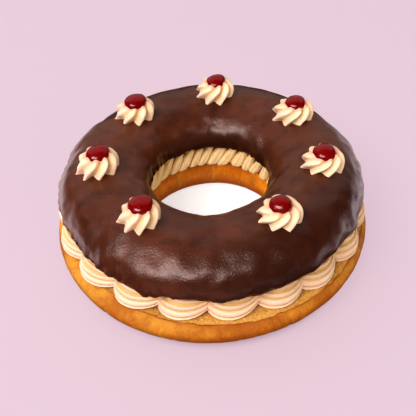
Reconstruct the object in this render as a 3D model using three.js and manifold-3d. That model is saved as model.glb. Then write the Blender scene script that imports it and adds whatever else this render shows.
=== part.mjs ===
// A giant filled ring doughnut, in millimetres with +Z up.
// The bun is split level: cream swirls fill it, chocolate icing covers the upper half,
// and cream rosettes, each with a cherry, stand on the icing.
// The origin is the centre of the hole, on the surface that the doughnut stands on.

import * as THREE from "three";
import { mergeVertices } from "three/addons/utils/BufferGeometryUtils.js";
import Module from "manifold-3d";

// Driving dimensions

const CONTACT_GAP = 0.3; // between pieces that touch
const FULL_TURN = 2 * Math.PI;
const QUARTER_TURN = Math.PI / 2;

// Lower half of the bun: a rounded ring, cut level on top
const BASE = {
  columns: 48,
  radius: 120,
  widestHeight: 18,
  footOuter: 96,
  cutHeight: 25,
  cutOuter: 110,
  cutInner: 54.5,
  holeRadius: 51.7,
  holeHeight: 14,
  footInner: 57.5,
  divisions: 2,
};

// Filling: swirls piped side by side outside, leaning ridges towards the hole
const FILLING = {
  height: 22,
  swirls: 19,
  columnsPerSwirl: 8,
  frontGapColumn: -39,
  swirlRadius: 114,
  gapDepth: 8,
  sideSpread: 2.2,
  offset: 1.9,
  offsetAngle: THREE.MathUtils.degToRad(160),
  swirlRoundness: 0.88,
  swirlRidges: 4,
  ridgeDepth: 1.6,
  gapRidgeShare: 0.4,
  ridgeRise: 0.2,
  footDrawIn: 2.2,
  topDrawIn: 9.2,
  innerRidges: 38,
  innerRows: 5,
  innerLean: 0.17,
  innerBottomRadius: 49.4,
  innerTopRadius: 48.7,
  innerRidgeDepth: 2.2,
};

// Upper half of the bun under its icing: a dome whose crest is a ring
const DOME = {
  columns: 48,
  crestRadius: 80,
  crestHeight: 77.6,
  outerRadius: 113.5,
  outerHeight: 53,
  innerRadius: 44.3,
  innerHeight: 55.5,
  tuckOuter: 4.5,
  tuckInner: 2.5,
  icing: 2.6,
  lipHeight: 49.6,
  divisions: 3,
  hiddenDivisions: 2,
};

// Slow waves round the ring: how many, how large and where the first one starts
const SWELL_WAVES = [
  { count: 2, size: 0.5, start: 0.6 },
  { count: 4, size: 0.3, start: 2.1 },
  { count: 6, size: 0.15, start: 0 },
];
const RISE_WAVES = [
  { count: 2, size: 0.006, start: 1.4 },
  { count: 3, size: 0.005, start: 4 },
];
const LIP_WAVES = [
  { count: 7, size: 0.7, start: 0.4 },
  { count: 11, size: 0.55, start: 2 },
  { count: 16, size: 0.3, start: 1 },
];
const INNER_LIP_START = 2;

// Rosettes: star-piped cream, each twisted a little as the nozzle lifted and bulging along +X,
// with the petals on the side that it was drawn away from trailing behind
const ROSETTE = {
  petals: 8,
  columnsPerPetal: 3,
  petalDepth: 0.36,
  belly: 1.6,
  trail: 0.09,
  trailAngle: THREE.MathUtils.degToRad(140),
};

// Where the rosettes stand, by angle round the ring in degrees and distance from its axis,
// each one's radius, height, turn and twist of its petals in degrees, and how far its peak leans along +X,
// and its cherry: radius, half the height, and height of its middle above the icing
const ROSETTE_PLACES = [
  {
    angle: 86, distance: 80.4, radius: 15.7, height: 12.6, turn: 17, twist: 44, lean: 1.2,
    cherry: { radius: 7.8, half: 5.2, middle: 10.2 },
  },
  {
    angle: 35.6, distance: 80.8, radius: 16, height: 12.2, turn: 14, twist: 48, lean: 1.8,
    cherry: { radius: 8.2, half: 5.5, middle: 9.8 },
  },
  {
    angle: -8.9, distance: 81.6, radius: 15.7, height: 11, turn: 8, twist: 54, lean: 1.3,
    cherry: { radius: 8.6, half: 5.8, middle: 8.9 },
  },
  {
    angle: -55.1, distance: 78.2, radius: 15.5, height: 10.2, turn: 20, twist: 52, lean: 0.7,
    cherry: { radius: 7.9, half: 6, middle: 9 },
  },
  {
    angle: -128.4, distance: 79.7, radius: 14.7, height: 15, turn: 3, twist: 37, lean: 2.3,
    cherry: { radius: 8.5, half: 4.5, middle: 12.8 },
  },
  {
    angle: -174.5, distance: 82.6, radius: 16, height: 14, turn: 10, twist: 33, lean: 1.8,
    cherry: { radius: 8.6, half: 4.5, middle: 11.7 },
  },
  {
    angle: 135.9, distance: 81.6, radius: 16, height: 12, turn: 16, twist: 28, lean: 1.4,
    cherry: { radius: 8.7, half: 5.1, middle: 10.5 },
  },
];

// Cherries: soft glossy domes pressed onto the rosettes
const CHERRY = {
  columns: 12,
  rows: 7,
};

// Solids from meshes

const wasm = await Module();
wasm.setup();

// Keeps positions only, joins shared corners and drops the empty triangles at the poles
function closedGeometry(geometry) {
  geometry.deleteAttribute("normal");
  geometry.deleteAttribute("uv");
  const merged = mergeVertices(geometry, 1e-4);
  const index = merged.index.array;
  const kept = [];
  for (let first = 0; first < index.length; first += 3) {
    const [a, b, c] = index.slice(first, first + 3);
    if (a !== b && b !== c && c !== a) {
      kept.push(a, b, c);
    }
  }
  merged.setIndex(kept);
  return merged;
}

function solidOf(geometry) {
  const vertProperties = new Float32Array(geometry.attributes.position.array);
  const triVerts = new Uint32Array(geometry.index.array);
  return new wasm.Manifold(new wasm.Mesh({ numProp: 3, vertProperties, triVerts }));
}

function geometryOf(solid) {
  const mesh = solid.getMesh();
  const geometry = new THREE.BufferGeometry();
  geometry.setAttribute("position", new THREE.BufferAttribute(mesh.vertProperties.slice(), 3));
  geometry.setIndex(Array.from(mesh.triVerts));
  return geometry;
}

// The surface of revolution with one corner of its section for each row,
// whose corners are then placed one by one: place(column, row) gives a point
function placedLathe(rows, columns, place) {
  const section = Array.from({ length: rows }, () => new THREE.Vector2());
  const geometry = new THREE.LatheGeometry(section, columns);
  const position = geometry.attributes.position;
  for (let column = 0; column <= columns; column += 1) {
    for (let row = 0; row < rows; row += 1) {
      const point = place(column % columns, row);
      position.setXYZ(column * rows + row, point.x, point.y, point.z);
    }
  }
  return closedGeometry(geometry);
}

// Unevenness of the bun

function waveSum(waves, angle) {
  return waves.reduce((sum, { count, size, start }) => sum + size * Math.sin(count * angle + start), 0);
}

// How far the ring swells out at an angle, in millimetres
function swell(angle) {
  return waveSum(SWELL_WAVES, angle);
}

// How much higher than usual the bun rose at an angle, as a share of its height
function rise(angle) {
  return waveSum(RISE_WAVES, angle);
}

// A point of the even ring, moved to where the uneven bun has it
function bunPoint(angle, radius, height) {
  const unevenRadius = radius + swell(angle);
  const unevenHeight = height * (1 + rise(angle));
  return new THREE.Vector3(unevenRadius * Math.cos(angle), unevenRadius * Math.sin(angle), unevenHeight);
}

// A corner of a section: its distance from the ring's axis, its height,
// and how far it is turned round the ring from the section's own angle
function corner(radius, height, turn = 0) {
  return { radius, height, turn };
}

function cornersOf(outline, divisions) {
  return outline.getPoints(divisions).map(({ x, y }) => corner(x, y));
}

// A closed ring: sectionAt(angle, column) lists its corners, anticlockwise with the radius to the right
function ringGeometry(columns, sectionAt) {
  const angles = Array.from({ length: columns }, (_, column) => (column / columns) * FULL_TURN);
  const sections = angles.map(sectionAt);
  const corners = sections[0].length;
  return placedLathe(corners + 1, columns, (column, row) => {
    const { radius, height, turn } = sections[column][row % corners];
    return bunPoint(angles[column] + turn, radius, height);
  });
}

// How much further out the cut and the swirls reach at the doughnut's left and right
function sideSpread(angle) {
  return FILLING.sideSpread * Math.cos(2 * angle);
}

// How much further out the ring of swirls lies on the side that it was piped off the middle to
function swirlOffset(angle) {
  return FILLING.offset * Math.cos(angle - FILLING.offsetAngle);
}

// Lower half of the bun

function baseSection(angle) {
  const { radius, widestHeight, footOuter, cutHeight, cutInner } = BASE;
  const { holeRadius, holeHeight, footInner } = BASE;
  const cutOuter = BASE.cutOuter + sideSpread(angle);
  const outline = new THREE.Path();
  outline.absellipse(footOuter, widestHeight, radius - footOuter, widestHeight, -QUARTER_TURN, 0);
  outline.absellipse(cutOuter, widestHeight, radius - cutOuter, cutHeight - widestHeight, 0, QUARTER_TURN);
  outline.absellipse(
    cutInner, holeHeight, cutInner - holeRadius, cutHeight - holeHeight, QUARTER_TURN, 2 * QUARTER_TURN,
  );
  outline.absellipse(
    footInner, holeHeight, footInner - holeRadius, holeHeight, 2 * QUARTER_TURN, 3 * QUARTER_TURN,
  );
  return cornersOf(outline, BASE.divisions);
}

// Filling

// Rows of a swirl: their height, from 0 at the cut to 1 under the upper half,
// and whether they lie in a groove between two ridges
function swirlRows() {
  const last = 2 * FILLING.swirlRidges;
  return Array.from({ length: last + 1 }, (_, row) => ({
    height: row / last,
    inGroove: row % 2 === 0 && row > 0 && row < last,
  }));
}

// Outer side of the filling at a column: rounded swirls whose ridges climb from left to right
function swirlCorners(angle, column) {
  const { columnsPerSwirl, frontGapColumn, swirlRadius, gapDepth, swirlRoundness } = FILLING;
  const place = THREE.MathUtils.euclideanModulo(column - frontGapColumn, columnsPerSwirl);
  const across = (2 * place) / columnsPerSwirl - 1;
  const edge = Math.sqrt(1 - swirlRoundness ** 2);
  const bulge = (Math.sqrt(1 - (swirlRoundness * across) ** 2) - edge) / (1 - edge);
  const climb = place === 0 ? 0 : FILLING.ridgeRise * across;
  const groove = FILLING.ridgeDepth * THREE.MathUtils.lerp(FILLING.gapRidgeShare, 1, bulge);
  const reach = swirlRadius + sideSpread(angle) + swirlOffset(angle) - gapDepth * (1 - bulge);
  return swirlRows().map(({ height, inGroove }) => {
    const drawnIn = FILLING.topDrawIn * height ** 3 + (height === 0 ? FILLING.footDrawIn : 0);
    const side = reach - drawnIn - (inGroove ? groove : 0);
    return corner(side, fillingHeight(height + climb * Math.sin(Math.PI * height)));
  });
}

// Inner side of the filling at an angle, from top to bottom: rounded ridges that lean
function innerCorners(angle) {
  const { innerRidges, innerRows, innerLean, innerBottomRadius, innerTopRadius } = FILLING;
  const valley = FILLING.innerRidgeDepth * (1 - Math.abs(Math.cos((innerRidges * angle) / 2)));
  return Array.from({ length: innerRows }, (_, row) => {
    const height = 1 - row / (innerRows - 1);
    const side = THREE.MathUtils.lerp(innerBottomRadius, innerTopRadius, height);
    return corner(side + valley, fillingHeight(height), innerLean * (0.5 - height));
  });
}

// Height of a place in the filling, given as a share of the filling's depth
function fillingHeight(share) {
  return BASE.cutHeight + CONTACT_GAP + (FILLING.height - CONTACT_GAP) * share;
}

function fillingSection(angle, column) {
  return [...swirlCorners(angle, column), ...innerCorners(angle)];
}

// Upper half and its icing

// The dome at a depth under the icing's surface, from a height outside, over the crest, to one inside
function domeCorners(depth, outerFoot, innerFoot, divisions) {
  const { crestRadius, crestHeight, outerRadius, outerHeight, innerRadius, innerHeight } = DOME;
  const outerReach = outerRadius - crestRadius - depth;
  const innerReach = crestRadius - innerRadius - depth;
  const bottom = BASE.cutHeight + FILLING.height;
  const outerTuck = DOME.tuckOuter * ((outerHeight - outerFoot) / (outerHeight - bottom)) ** 2;
  const innerTuck = DOME.tuckInner * ((innerHeight - innerFoot) / (innerHeight - bottom)) ** 2;
  const over = new THREE.Path();
  over.moveTo(crestRadius + outerReach - outerTuck, outerFoot);
  over.lineTo(crestRadius + outerReach, outerHeight);
  over.absellipse(crestRadius, outerHeight, outerReach, crestHeight - depth - outerHeight, 0, QUARTER_TURN);
  over.absellipse(
    crestRadius, innerHeight, innerReach, crestHeight - depth - innerHeight, QUARTER_TURN, 2 * QUARTER_TURN,
  );
  over.lineTo(crestRadius - innerReach + innerTuck, innerFoot);
  return cornersOf(over, divisions);
}

function lidSection() {
  const foot = BASE.cutHeight + FILLING.height + CONTACT_GAP;
  return domeCorners(DOME.icing + CONTACT_GAP, foot, foot, DOME.hiddenDivisions);
}

function icingSection(angle) {
  const outerLip = DOME.lipHeight + waveSum(LIP_WAVES, angle);
  const innerLip = DOME.lipHeight + waveSum(LIP_WAVES, angle + INNER_LIP_START);
  const outside = domeCorners(0, outerLip, innerLip, DOME.divisions);
  const inside = domeCorners(DOME.icing, outerLip, innerLip, DOME.hiddenDivisions);
  return [...outside, ...inside.reverse()];
}

// Height of the icing's surface over a point
function icingTop(x, y) {
  const angle = Math.atan2(y, x);
  const offset = Math.hypot(x, y) - swell(angle) - DOME.crestRadius;
  const side = offset > 0
    ? { reach: DOME.outerRadius - DOME.crestRadius, foot: DOME.outerHeight }
    : { reach: DOME.crestRadius - DOME.innerRadius, foot: DOME.innerHeight };
  const height = side.foot + (DOME.crestHeight - side.foot) * Math.sqrt(1 - (offset / side.reach) ** 2);
  return height * (1 + rise(angle));
}

// Rosettes

// Rows of a rosette from the middle of its underside to its peak:
// the shares of its radius and height, and whether the row follows the icing below
const ROSETTE_ROWS = [
  { reach: 0, height: 0, onIcing: true },
  { reach: 0.5, height: 0, onIcing: true },
  { reach: 0.95, height: 0, onIcing: true },
  { reach: 1, height: 0.12, onIcing: true },
  { reach: 0.96, height: 0.38 },
  { reach: 0.83, height: 0.66 },
  { reach: 0.58, height: 0.9 },
  { reach: 0, height: 1 },
];

// The underside follows the icing below: heightBelow(x, y) is its height under the rosette's own frame
function rosetteGeometry({ radius, height, turn, twist, lean }, heightBelow) {
  const { petals, columnsPerPetal, petalDepth, belly, trail, trailAngle } = ROSETTE;
  const columns = petals * columnsPerPetal;
  return placedLathe(ROSETTE_ROWS.length, columns, (column, row) => {
    const { reach, height: share, onIcing } = ROSETTE_ROWS[row];
    const crest = (1 + Math.cos((column / columnsPerPetal) * FULL_TURN)) / 2;
    const angle = (column / columns) * FULL_TURN + THREE.MathUtils.degToRad(turn + twist * share);
    const trailing = 1 + trail * (1 - share) * Math.max(0, Math.cos(angle - trailAngle));
    const out = radius * reach * trailing * (1 - petalDepth * (1 - crest));
    const x = out * Math.cos(angle) + lean * share ** 2 + belly * Math.sin(Math.PI * share);
    const y = out * Math.sin(angle);
    const settled = onIcing ? heightBelow(x, y) + CONTACT_GAP : 0;
    return new THREE.Vector3(x, y, settled + height * share);
  });
}

// Cherries

// A dome pressed onto the rosette, so that it runs down between the petals
function cherryGeometry(rosette, { radius, half, middle }, lean) {
  const { columns, rows } = CHERRY;
  const dome = new THREE.SphereGeometry(radius, columns, rows).rotateX(QUARTER_TURN);
  dome.scale(1, 1, half / radius).translate(lean, 0, middle);
  const cream = solidOf(rosette).translate([0, 0, CONTACT_GAP]);
  const pieces = solidOf(closedGeometry(dome)).subtract(cream).decompose();
  const [largest] = pieces.sort((one, other) => other.volume() - one.volume());
  return geometryOf(largest);
}

// Looks

const doughLook = { color: 0xd88a3c, roughness: 0.6, metalness: 0 };
const creamLook = { color: 0xf6dcae, roughness: 0.5, metalness: 0 };
const chocolateLook = { color: 0x4a2a22, roughness: 0.35, metalness: 0 };
const cherryLook = { color: 0x7d0f12, roughness: 0.15, metalness: 0 };

function piece(name, geometry, look) {
  const mesh = new THREE.Mesh(geometry, new THREE.MeshStandardMaterial(look));
  mesh.name = name;
  return mesh;
}

// The doughnut

const doughnut = new THREE.Group();
doughnut.name = "doughnut";
doughnut.add(
  piece("dough_base", ringGeometry(BASE.columns, baseSection), doughLook),
  piece(
    "cream_filling",
    ringGeometry(FILLING.swirls * FILLING.columnsPerSwirl, fillingSection),
    creamLook,
  ),
  piece("dough_top", ringGeometry(DOME.columns, lidSection), doughLook),
  piece("chocolate_icing", ringGeometry(DOME.columns, icingSection), chocolateLook),
);

ROSETTE_PLACES.forEach((place, order) => {
  const turned = THREE.MathUtils.degToRad(place.angle);
  const stand = new THREE.Group();
  const x = place.distance * Math.cos(turned);
  const y = place.distance * Math.sin(turned);
  const level = icingTop(x, y);
  stand.position.set(x, y, level);
  const rosette = rosetteGeometry(place, (dx, dy) => icingTop(x + dx, y + dy) - level);
  stand.add(
    piece(`rosette_${order + 1}`, rosette, creamLook),
    piece(`cherry_${order + 1}`, cherryGeometry(rosette, place.cherry, place.lean), cherryLook),
  );
  doughnut.add(stand);
});

export default doughnut;
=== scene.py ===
"""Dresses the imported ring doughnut: baked dough, piped cream, chocolate icing and cherries.

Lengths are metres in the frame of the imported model: +Z up, the origin under the middle of the hole.
"""

import math
import random
from contextlib import contextmanager

import bmesh
import bpy
import numpy as np
from bpy.props import FloatProperty, FloatVectorProperty, IntProperty, PointerProperty
from mathutils import Matrix, Vector, noise


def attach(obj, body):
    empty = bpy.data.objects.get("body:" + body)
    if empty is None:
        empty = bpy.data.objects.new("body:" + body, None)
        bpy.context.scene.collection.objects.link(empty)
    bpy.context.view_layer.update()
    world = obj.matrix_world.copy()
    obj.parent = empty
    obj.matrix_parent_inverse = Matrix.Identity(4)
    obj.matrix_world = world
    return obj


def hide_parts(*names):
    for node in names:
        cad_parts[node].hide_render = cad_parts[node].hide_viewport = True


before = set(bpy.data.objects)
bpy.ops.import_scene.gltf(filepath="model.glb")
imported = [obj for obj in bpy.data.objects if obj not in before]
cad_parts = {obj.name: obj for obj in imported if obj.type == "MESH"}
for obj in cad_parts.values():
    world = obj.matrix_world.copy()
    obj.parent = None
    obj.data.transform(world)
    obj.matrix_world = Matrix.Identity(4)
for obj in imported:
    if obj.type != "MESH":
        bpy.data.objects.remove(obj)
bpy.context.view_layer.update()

bl_info = {
    "name": "Filled ring doughnut",
    "version": (1, 0, 0),
    "blender": (4, 5, 0),
    "location": "View3D > Sidebar > Doughnut",
    "description": "Bakes, fills, ices and tops a giant ring doughnut",
    "category": "Object",
}

BODY = "root"
MM = 0.001
TURN = 2 * math.pi

# Slow waves round the bun: how many, how large and where the first one starts
SWELL_WAVES = ((2, 0.5 * MM, 0.6), (4, 0.3 * MM, 2.1), (6, 0.15 * MM, 0.0))
RISE_WAVES = ((2, 0.006, 1.4), (3, 0.005, 4.0))
LIP_WAVES = ((7, 0.7 * MM, 0.4), (11, 0.55 * MM, 2.0), (16, 0.3 * MM, 1.0))
INNER_LIP_START = 2.0

# Drips on the icing's lower edge: angle in degrees, width and drop
LIP_DRIPS = ((-113.8, 3.0 * MM, 1.9 * MM), (-89.3, 6.0 * MM, 1.7 * MM), (-74.3, 5.0 * MM, 1.0 * MM))

# Creases down the side of the crust: angle in degrees, width and depth
CRUST_CREASES = (
    (-64.3, 1.6 * MM, 0.9 * MM),
    (-70.5, 1.2 * MM, 0.4 * MM),
    (-81.6, 1.4 * MM, 0.5 * MM),
    (-104.0, 1.5 * MM, 0.35 * MM),
    (-131.0, 1.8 * MM, 0.4 * MM),
    (-22.0, 1.6 * MM, 0.6 * MM),
    (31.0, 1.7 * MM, 0.6 * MM),
    (88.0, 1.5 * MM, 0.5 * MM),
    (141.0, 1.6 * MM, 0.6 * MM),
)
# Creases down the wall of the hole, given alike
HOLE_CREASES = ((88.0, 1.3 * MM, 0.9 * MM), (121.0, 1.1 * MM, 0.5 * MM), (-40.0, 1.4 * MM, 0.6 * MM))

# How far a crease sways to the side, and how fast it does so with height, in radians for each metre
CRUST_SWAY = (0.8 * MM, 900)
HOLE_SWAY = (0.6 * MM, 700)

# Radii on the lower half: where the filling hides the cut, between which the underside has more points,
# where the outer side starts, where the cut starts to spread, and the crust's edge round the hole
HIDDEN_CUT = (96 * MM, 64 * MM)
UNDERSIDE = (68 * MM, 88 * MM)
OUTER_SIDE = 88 * MM
SPREADS_FROM = 95 * MM
HOLE_EDGE = 55 * MM
# Height from which the wall of the hole belongs to that edge
HOLE_EDGE_HEIGHT = 20 * MM
# Direction in which the cut ran off the middle, in degrees
OFF_MIDDLE = -20
# Distance that stands for nowhere near an edge
FAR = 20 * MM
# Smallest distance from the axis of a loose crumb
CRUMBS_FROM = 103.5 * MM
# Mean radius of the dome's section, which turns angles round it into lengths
SECTION_RADIUS = 30 * MM

# Rosettes: angle round the ring in degrees, distance from its axis, radius at the foot, height,
# turn of the petals and twist from foot to peak in degrees, and how far the peak leans along +X
ROSETTES = (
    (86.0, 80.4 * MM, 15.7 * MM, 12.6 * MM, 17.0, 44.0, 1.2 * MM),
    (35.6, 80.8 * MM, 16.0 * MM, 12.2 * MM, 14.0, 48.0, 1.8 * MM),
    (-8.9, 81.6 * MM, 15.7 * MM, 11.0 * MM, 8.0, 54.0, 1.3 * MM),
    (-55.1, 78.2 * MM, 15.5 * MM, 10.2 * MM, 20.0, 52.0, 0.7 * MM),
    (-128.4, 79.7 * MM, 14.7 * MM, 15.0 * MM, 3.0, 37.0, 2.3 * MM),
    (-174.5, 82.6 * MM, 16.0 * MM, 14.0 * MM, 10.0, 33.0, 1.8 * MM),
    (135.9, 81.6 * MM, 16.0 * MM, 12.0 * MM, 16.0, 28.0, 1.4 * MM),
)
# Their cherries: radius, half the height, height of the middle above the icing,
# and how far the top is pulled up
CHERRIES = (
    (7.8 * MM, 5.2 * MM, 10.2 * MM, 0.20),
    (8.2 * MM, 5.5 * MM, 9.8 * MM, 0.10),
    (8.6 * MM, 5.8 * MM, 8.9 * MM, 0.03),
    (7.9 * MM, 6.0 * MM, 9.0 * MM, 0.00),
    (8.5 * MM, 4.5 * MM, 12.8 * MM, 0.18),
    (8.6 * MM, 4.5 * MM, 11.7 * MM, 0.20),
    (8.7 * MM, 5.1 * MM, 10.5 * MM, 0.18),
)
# Place on a cherry of radius 1 where its top is pulled up
CHERRY_PEAK = (0.60, 0.42, 0.68)

# Thickness of one piped swirl at even steps, from its start under the lid, round its bulge, to its tail
SWIRL_THICKNESS = (
    0.76, 0.80, 0.84, 0.88, 0.92, 0.955, 0.98, 0.995, 1.00, 0.99, 0.97,
    0.935, 0.89, 0.835, 0.775, 0.71, 0.645, 0.58, 0.515, 0.45, 0.38,
)
# The line that it lies on, as points of a curve: along the ring, from the axis, above the cut
SWIRL_LINE = (
    (-12.0 * MM, 84.0 * MM, 6.0 * MM),
    (-17.0 * MM, 103.0 * MM, 1.8 * MM),
    (5.0 * MM, 108.0 * MM, 0.6 * MM),
    (22.0 * MM, 92.0 * MM, 8.0 * MM),
)
# How much taller than wide a swirl is above that line, and below it
SWIRL_CROWN = 1.72
SWIRL_FOOT = 0.4
# Points of its section across one ridge
RIDGE_STEPS = 8
# Radii at which lengths along the ring become angles, for swirls and for fingers
SWIRL_RING = 105 * MM
FINGER_RING = 52 * MM
# The cream behind the swirls: both ends of its foot, both ends of its top, and its outward bulge
CORE_FOOT = (60 * MM, 94 * MM)
CORE_TOP = (91 * MM, 56 * MM)
CORE_BULGE = 4 * MM

# One finger of cream towards the hole, from its foot to its tip: share of its length and of its width
FINGER_STATIONS = (
    (0.00, 0.18), (0.015, 0.38), (0.04, 0.58), (0.08, 0.77), (0.14, 0.92), (0.22, 1.00), (0.32, 1.00),
    (0.44, 0.95), (0.56, 0.87), (0.68, 0.77), (0.80, 0.65), (0.91, 0.50), (1.00, 0.34),
)
# Its ridges, and the reach of its section across one of them, from groove to groove
FINGER_RIDGES = 6
FINGER_OUTLINE = (0.88, 0.97, 1.0, 0.97)

# A rosette from its foot to its peak: share of its height, of its radius and of its twist
ROSETTE_STATIONS = (
    (0.000, 0.985, 0.00), (0.038, 0.995, 0.02), (0.095, 1.00, 0.05), (0.190, 1.00, 0.12),
    (0.287, 0.995, 0.22), (0.382, 0.975, 0.33), (0.478, 0.945, 0.46), (0.573, 0.90, 0.62),
    (0.656, 0.85, 0.76), (0.739, 0.785, 0.89), (0.815, 0.71, 0.96), (0.879, 0.63, 0.99),
    (0.930, 0.54, 1.00), (0.968, 0.42, 1.00), (0.994, 0.25, 1.00), (1.000, 0.06, 1.00),
)
# Points of its section across one petal
PETAL_STEPS = 12

# Soft boxes: azimuth, from the camera's side towards the right, elevation, distance, width, height, power,
# colour, and whether each shows in gloss and on matt
SOFT_BOXES = (
    ("key", -40.0, 48.0, 2.20, 1.40, 0.90, 47.0, (1.0, 0.975, 0.95), True, True),
    ("sheen", -10.0, 49.0, 2.20, 0.70, 0.75, 8.0, (1.0, 0.95, 0.94), True, False),
    ("back", 180.0, 35.0, 1.80, 4.40, 2.40, 19.0, (1.0, 0.97, 0.95), True, True),
    ("top", -108.0, 62.0, 1.80, 1.80, 1.80, 20.0, (1.0, 0.96, 0.94), False, True),
    ("fill", 46.0, 32.0, 1.80, 1.50, 1.50, 14.0, (1.0, 0.94, 0.66), False, True),
)
# Cards on the table that show only in the icing's gloss: X and Y of the middle, width, depth and power
TABLE_CARDS = (
    ("left", -0.30, 0.12, 0.26, 0.44, 0.95),
    ("right", 0.30, 0.08, 0.26, 0.48, 0.85),
    ("front", 0.0, -0.32, 0.34, 0.26, 0.18),
)


# Sizes and colours that a user would change

def length(name, description, default):
    """A length in metres for the sidebar."""
    return FloatProperty(name=name, description=description, default=default, precision=4, unit="LENGTH")


def share(name, description, default):
    """A share from 0 to 1 for the sidebar."""
    shown = {"name": name, "description": description, "subtype": "FACTOR"}
    return FloatProperty(default=default, min=0, max=1, **shown)


def number(name, description, default):
    """A plain number for the sidebar."""
    return FloatProperty(name=name, description=description, default=default)


def amount(name, description, default):
    """How many there are of something, for the sidebar."""
    return IntProperty(name=name, description=description, default=default, min=3)


def angle(name, description, degrees):
    """An angle for the sidebar, given in degrees."""
    return FloatProperty(name=name, description=description, default=math.radians(degrees), unit="ROTATION")


def colour(name, description, default):
    """A colour for the sidebar, in linear light."""
    shown = {"name": name, "description": description, "subtype": "COLOR"}
    return FloatVectorProperty(default=default, min=0, max=1, **shown)


class BunSizes(bpy.types.PropertyGroup):
    """Lower half of the bun."""

    radius: length("Radius", "Widest radius of the bun", 0.120)
    widest_height: length("Widest height", "Height at which the bun is widest", 0.018)
    foot_outer: length("Outer foot", "Outer radius of the underside", 0.096)
    foot_inner: length("Inner foot", "Inner radius of the underside", 0.0575)
    cut_height: length("Cut height", "Height at which the bun is split", 0.025)
    cut_outer: length("Outer cut", "Outer radius of the level cut", 0.110)
    cut_inner: length("Inner cut", "Inner radius of the level cut", 0.0545)
    hole_radius: length("Hole radius", "Radius of the hole at its narrowest", 0.0517)
    hole_height: length("Hole height", "Height at which the hole is narrowest", 0.014)
    side_spread: length("Side spread", "How much further out the cut reaches left and right", 0.0022)
    rim_radius: length("Rim radius", "Mean radius of the crust's edge round the cut", 0.1118)
    rim_offset: length("Rim offset", "How far the cut ran off the middle", 0.004)
    crumbs: amount("Crumbs", "Loose crumbs on the cut face", 1500)


class DomeSizes(bpy.types.PropertyGroup):
    """Upper half of the bun and its icing."""

    crest_radius: length("Crest radius", "Radius of the ring's crest", 0.080)
    crest_height: length("Crest height", "Height of the icing at the crest", 0.0776)
    outer_radius: length("Outer radius", "Widest radius of the icing", 0.1135)
    outer_height: length("Outer height", "Height at which the icing is widest", 0.053)
    inner_radius: length("Inner radius", "Radius of the hole in the icing", 0.0443)
    inner_height: length("Inner height", "Height at which that hole is narrowest", 0.0555)
    tuck_outer: length("Outer tuck", "How far the outer side draws in towards its foot", 0.0045)
    tuck_inner: length("Inner tuck", "How far the inner side draws in towards its foot", 0.0025)
    icing: length("Icing", "Thickness of the icing", 0.0026)
    lip_height: length("Lip height", "Mean height of the icing's lower edge", 0.0496)
    gap: length("Gap", "Play between pieces that touch", 0.0003)


class CreamSizes(bpy.types.PropertyGroup):
    """Cream between the halves."""

    height: length("Height", "Height of the filling", 0.022)
    swirls: amount("Swirls", "Swirls piped round the outside", 19)
    first_gap: angle("First gap", "Where the gap at the front lies, round the ring", -92.37)
    swirl_radius: length("Swirl radius", "Thickness of a swirl, as a radius", 0.0112)
    swirl_length: length("Swirl length", "Length of the rope that becomes a swirl", 0.046)
    ridges: amount("Ridges", "Ridges round a swirl", 16)
    ridge_depth: share("Ridge depth", "Depth of the grooves as a share of a swirl's radius", 0.19)
    reach: length("Reach", "How far the swirls stand out past their line", 0.0036)
    spread: length("Spread", "How much further out the swirls lie left and right", 0.0035)
    offset: length("Offset", "How far the ring of swirls lies off the middle, to the left", 0.0004)
    fingers: amount("Fingers", "Fingers of cream towards the hole", 35)
    finger_width: length("Finger width", "Half the width of a finger", 0.0060)
    finger_lean: angle("Finger lean", "How far a finger's top is turned round the ring", -11.0)
    finger_foot: length("Finger foot", "Radius at the fingers' feet", 0.0505)
    finger_top: length("Finger top", "Radius at the fingers' tops", 0.0478)


class ToppingSizes(bpy.types.PropertyGroup):
    """Rosettes."""

    petals: amount("Petals", "Petals of a rosette", 8)
    petal_depth: share("Petal depth", "Depth of the grooves as a share of the radius", 0.32)
    splay: share("Splay", "How far petals spread at the foot, as a share of the radius", 0.05)
    belly: length("Belly", "How far the middle of a rosette bulges along +X", 0.0016)
    trail: share("Trail", "How far petals trail where the nozzle left, as a share of the radius", 0.09)
    trail_angle: angle("Trail angle", "Side of a rosette that the nozzle left", 140.0)


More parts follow.
